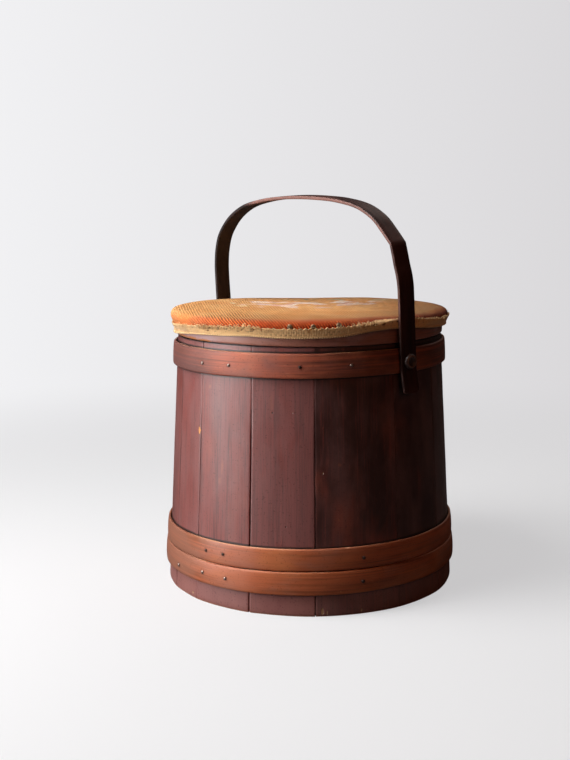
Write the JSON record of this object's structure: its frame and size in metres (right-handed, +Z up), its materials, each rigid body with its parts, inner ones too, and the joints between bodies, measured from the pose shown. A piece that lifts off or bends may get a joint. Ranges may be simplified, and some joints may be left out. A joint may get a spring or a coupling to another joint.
{
  "type": "sugar bucket",
  "caption": "Tapered stave-built bucket with bent hoops, a swing bail on pins and a lift-off lid padded and covered in needlepoint.",
  "frame": {"origin": "centre of the foot, on the plane that the staves stand on", "axes": "+Z up along the bucket's axis, X along the line of the bail's pins"},
  "size_m": [0.2845, 0.2848, 0.371],
  "materials": {
    "stained_pine": "old red-brown stain under worn varnish",
    "bare_board": "bare planed pine",
    "hoop_wood": "bent ash under worn orange-brown varnish",
    "bail_wood": "dark varnished bent ash",
    "peg_wood": "turned hardwood, dark with handling",
    "cotton_wadding": "soft cotton wadding",
    "needlepoint_wool": "wool tent stitch on canvas, faded",
    "gimp_braid": "woven straw-coloured gimp, frayed",
    "black_iron": "dark iron tacks, some worn bright"
  },
  "bodies": {
    "bucket": {"stave_01": "stained_pine", "stave_02": "stained_pine", "stave_03": "stained_pine", "stave_04": "stained_pine", "stave_05": "stained_pine", "stave_06": "stained_pine", "stave_07": "stained_pine", "stave_08": "stained_pine", "stave_09": "stained_pine", "stave_10": "stained_pine", "stave_11": "stained_pine", "stave_12": "stained_pine", "stave_13": "stained_pine", "stave_14": "stained_pine", "bottom_board_narrow": "bare_board", "bottom_board_wide": "bare_board", "foot_hoop": "hoop_wood", "lower_hoop": "hoop_wood", "top_hoop": "hoop_wood", "top_hoop_tack_01": "black_iron", "top_hoop_tack_02": "black_iron", "top_hoop_tack_03": "black_iron", "top_hoop_tack_04": "black_iron", "lower_hoop_tack_05": "black_iron", "lower_hoop_tack_06": "black_iron", "lower_hoop_tack_07": "black_iron", "foot_hoop_tack_08": "black_iron", "foot_hoop_tack_09": "black_iron", "foot_hoop_tack_10": "black_iron", "foot_hoop_tack_11": "black_iron", "top_hoop_tack_12": "black_iron", "top_hoop_tack_13": "black_iron", "lower_hoop_tack_14": "black_iron", "lower_hoop_tack_15": "black_iron", "foot_hoop_tack_16": "black_iron", "foot_hoop_tack_17": "black_iron", "bail_pin_near": "peg_wood", "pin_key_near": "bare_board", "bail_pin_far": "peg_wood", "pin_key_far": "bare_board"},
    "bail": {"bail": "bail_wood"},
    "lid": {"lid_band": "hoop_wood", "lid_board": "bare_board", "lid_wadding": "cotton_wadding", "needlepoint_cover": "needlepoint_wool", "lid_gimp": "gimp_braid"}
  },
  "joints": [
    {"name": "bail_swing", "type": "hinge", "parent": "bucket", "child": "bail", "pos_m": [0, 0, 0.224], "axis": [1, 0, 0], "range_deg": [-113, 106.5]},
    {"name": "lid_lift", "type": "slide", "parent": "bucket", "child": "lid", "axis": [0, 0, 1], "range_m": [0, 0.025]}
  ]
}
